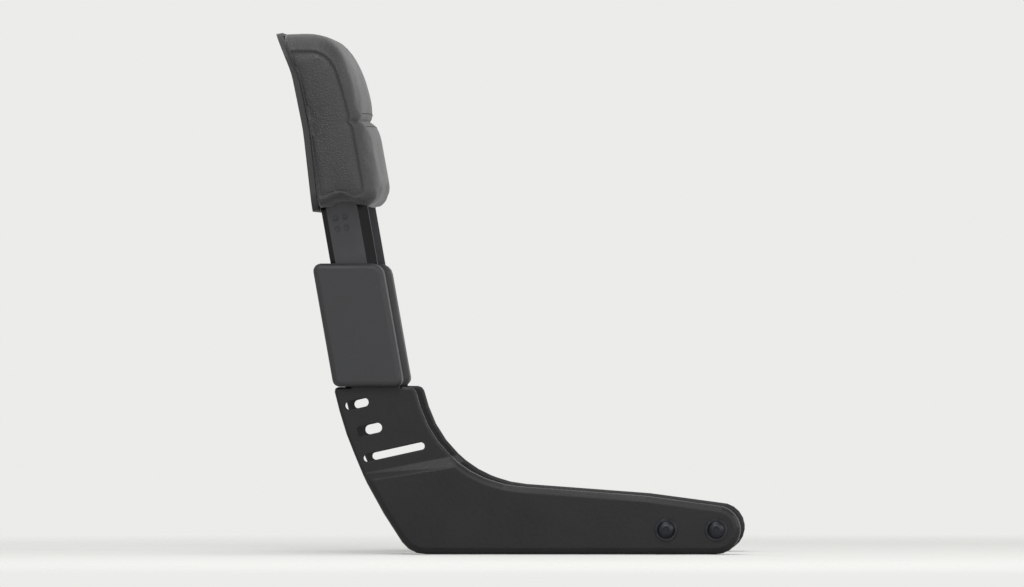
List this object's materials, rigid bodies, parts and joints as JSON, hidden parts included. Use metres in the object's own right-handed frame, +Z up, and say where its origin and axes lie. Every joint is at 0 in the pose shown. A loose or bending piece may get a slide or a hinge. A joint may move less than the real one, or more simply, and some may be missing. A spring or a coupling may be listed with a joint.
{
  "type": "motorcycle sissy bar",
  "caption": "Black passenger backrest for a cruiser: cast slotted brackets, leg covers, bevelled uprights and an upholstered pad.",
  "frame": {"origin": "on the middle plane, midway between the front and rear fender bolts and level with them", "axes": "+X forwards on the motorcycle, +Y to its left, +Z up"},
  "size_m": [0.3711, 0.29, 0.4164],
  "materials": {
    "bracket_casting": "black powder coat",
    "upright_bar": "black satin coat",
    "cover_moulding": "fine grain",
    "pad_covering": "grained synthetic leather",
    "shell_moulding": "fine grain",
    "board": "raw plywood",
    "pressed_steel": "black paint",
    "black_fastener": "black zinc",
    "zinc_fastener": "bright zinc"
  },
  "bodies": {
    "root": {"bracket_right": "bracket_casting", "bracket_left": "bracket_casting", "upright_right": "upright_bar", "upright_left": "upright_bar", "leg_cover_outer_right": "cover_moulding", "leg_cover_outer_left": "cover_moulding", "leg_cover_inner_right": "cover_moulding", "leg_cover_inner_left": "cover_moulding", "pad_cushion": "pad_covering", "pad_back_shell": "shell_moulding", "pad_board": "board", "pad_plate": "pressed_steel", "fender_bolt_front_right": "black_fastener", "fender_washer_front_right": "black_fastener", "fender_collar_front_right": "black_fastener", "fender_bolt_rear_right": "black_fastener", "fender_washer_rear_right": "black_fastener", "fender_collar_rear_right": "black_fastener", "leg_bolt_upper_right": "black_fastener", "leg_nut_upper_right": "black_fastener", "cover_screw_upper_right": "black_fastener", "plate_screw_upper_right": "black_fastener", "board_screw_upper_right": "zinc_fastener", "tee_nut_upper_right": "zinc_fastener", "shell_screw_upper_right": "black_fastener", "leg_bolt_lower_right": "black_fastener", "leg_nut_lower_right": "black_fastener", "cover_screw_lower_right": "black_fastener", "plate_screw_lower_right": "black_fastener", "board_screw_lower_right": "zinc_fastener", "tee_nut_lower_right": "zinc_fastener", "shell_screw_lower_right": "black_fastener", "fender_bolt_front_left": "black_fastener", "fender_washer_front_left": "black_fastener", "fender_collar_front_left": "black_fastener", "fender_bolt_rear_left": "black_fastener", "fender_washer_rear_left": "black_fastener", "fender_collar_rear_left": "black_fastener", "leg_bolt_upper_left": "black_fastener", "leg_nut_upper_left": "black_fastener", "cover_screw_upper_left": "black_fastener", "plate_screw_upper_left": "black_fastener", "board_screw_upper_left": "zinc_fastener", "tee_nut_upper_left": "zinc_fastener", "shell_screw_upper_left": "black_fastener", "leg_bolt_lower_left": "black_fastener", "leg_nut_lower_left": "black_fastener", "cover_screw_lower_left": "black_fastener", "plate_screw_lower_left": "black_fastener", "board_screw_lower_left": "zinc_fastener", "tee_nut_lower_left": "zinc_fastener", "shell_screw_lower_left": "black_fastener"}
  },
  "joints": []
}
